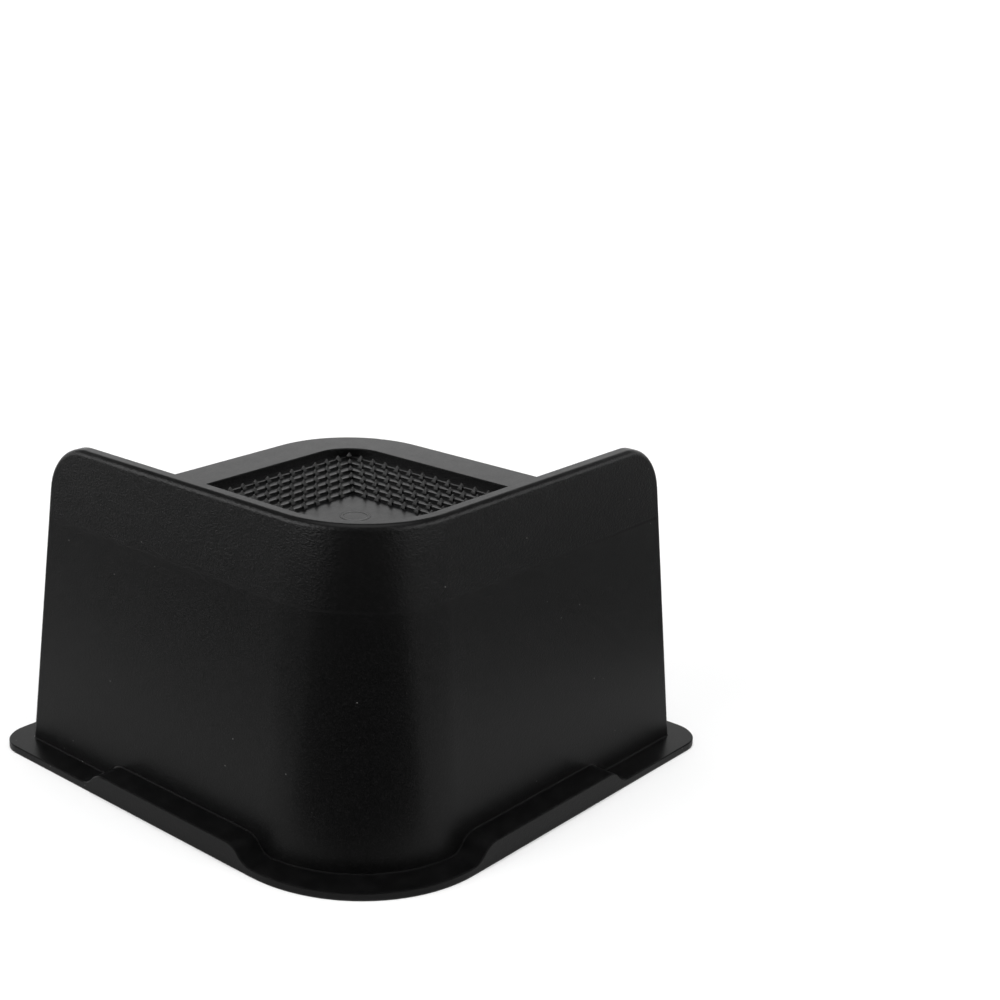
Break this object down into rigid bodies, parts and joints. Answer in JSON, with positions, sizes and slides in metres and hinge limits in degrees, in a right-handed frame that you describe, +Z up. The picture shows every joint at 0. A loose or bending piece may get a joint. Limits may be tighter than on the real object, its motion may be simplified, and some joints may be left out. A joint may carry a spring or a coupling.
{
  "type": "bed riser",
  "caption": "Square hollow bed riser with a wide foot flange, a recessed gripping tray on top for a furniture leg, and an L-shaped guard wall round one corner of it.",
  "frame": {"origin": "centre of the foot on the floor", "axes": "+Z up; the tall guard stands on the -X and -Y sides, with its round corner towards -X -Y"},
  "size_m": [0.16, 0.16, 0.0995],
  "materials": {
    "black_plastic": "fine moulded grain, satin"
  },
  "bodies": {
    "root": {"riser": "black_plastic"}
  },
  "joints": []
}
